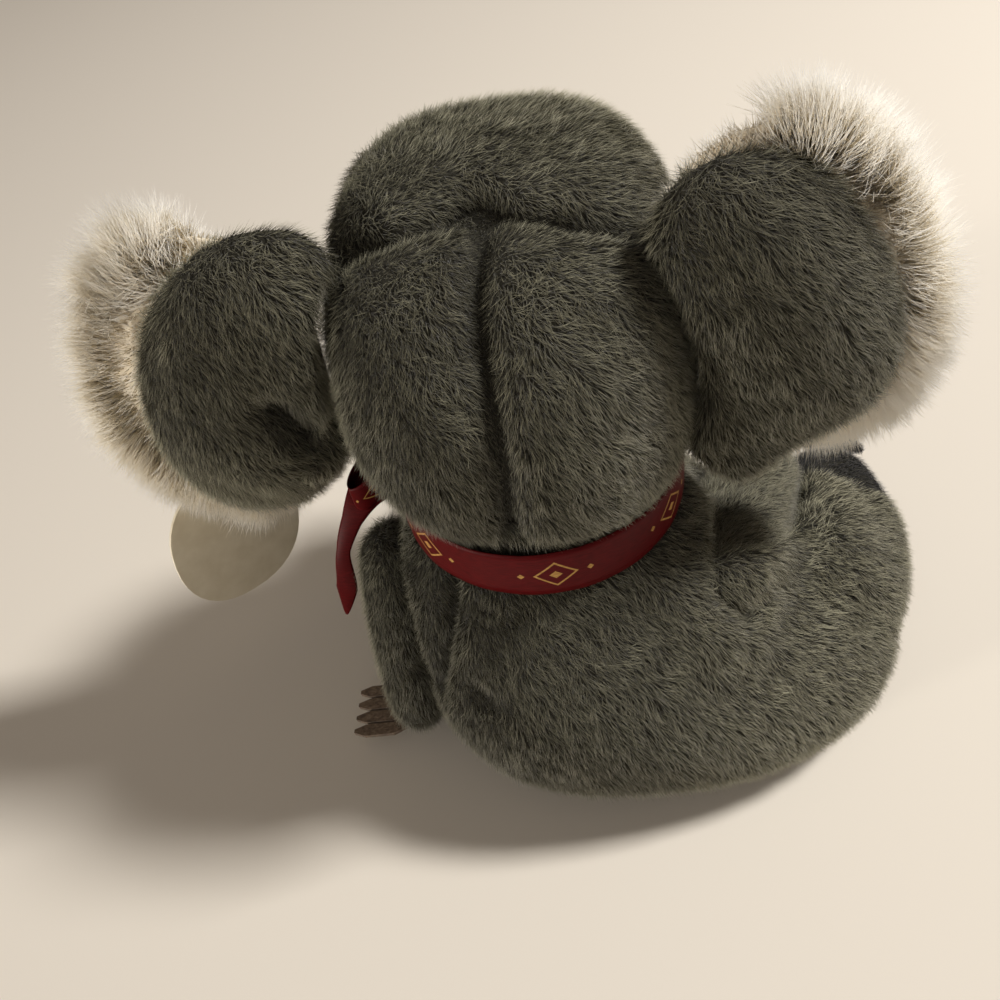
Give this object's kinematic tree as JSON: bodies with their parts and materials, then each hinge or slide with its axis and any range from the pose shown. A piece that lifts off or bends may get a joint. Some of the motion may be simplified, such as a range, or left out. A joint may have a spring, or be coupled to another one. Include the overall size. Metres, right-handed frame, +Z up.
{
  "type": "plush koala",
  "caption": "Sitting plush koala with wide fringed ears, satin ribbon and bow at the neck, suede hands and an oval swing tag.",
  "frame": {"origin": "on the floor, on the flat base, under the middle of the neck", "axes": "+Z up; -Y the way the koala faces; +X towards the animal's own left side"},
  "size_m": [0.2449, 0.1656, 0.1949],
  "materials": {
    "grey_plush": "short pile plush",
    "cream_plush": "long pile plush",
    "brown_suede": "suede",
    "black_leather": "smooth",
    "black_plush": "short pile plush",
    "eye_plastic": "gloss",
    "maroon_satin": "satin",
    "tag_card": "smooth matt",
    "tag_cord": "cotton cord"
  },
  "bodies": {
    "torso": {"body": "grey_plush", "belly_panel": "cream_plush", "leg_left": "grey_plush", "leg_right": "grey_plush", "toe_pad_left": "black_plush", "toe_pad_right": "black_plush", "ribbon_band": "maroon_satin", "bow_knot": "maroon_satin", "bow_loop_left": "maroon_satin", "bow_loop_right": "maroon_satin", "ribbon_tail_left": "maroon_satin", "ribbon_tail_right": "maroon_satin"},
    "head": {"head": "grey_plush", "muzzle": "cream_plush", "nose": "black_leather", "eye_left": "eye_plastic", "eye_right": "eye_plastic", "ear_back_left": "grey_plush", "ear_back_right": "grey_plush", "ear_front_left": "cream_plush", "ear_front_right": "cream_plush", "tag_loop": "tag_cord"},
    "arm_left": {"arm_left": "grey_plush", "claws_left": "brown_suede"},
    "arm_right": {"arm_right": "grey_plush", "claws_right": "brown_suede"},
    "tag": {"swing_tag": "tag_card"}
  },
  "joints": [
    {"name": "head_turn", "type": "hinge", "parent": "torso", "child": "head", "pos_m": [0, 0, 0.0965], "axis": [0, 0, 1], "range_deg": [-15, 15], "stiffness_Nm_per_rad": 0.15},
    {"name": "arm_left_swing", "type": "hinge", "parent": "torso", "child": "arm_left", "pos_m": [0.051, 0.008, 0.064], "axis": [1, 0, 0], "range_deg": [-10, 30], "stiffness_Nm_per_rad": 0.08},
    {"name": "arm_right_swing", "type": "hinge", "parent": "torso", "child": "arm_right", "pos_m": [-0.0535, 0.008, 0.064], "axis": [1, 0, 0], "range_deg": [-25, 0], "stiffness_Nm_per_rad": 0.08},
    {"name": "tag_swing", "type": "hinge", "parent": "head", "child": "tag", "pos_m": [0.1075, -0.0104, 0.0886], "axis": [-0.766, 0.6428, 0], "range_deg": [-30, 30]}
  ]
}
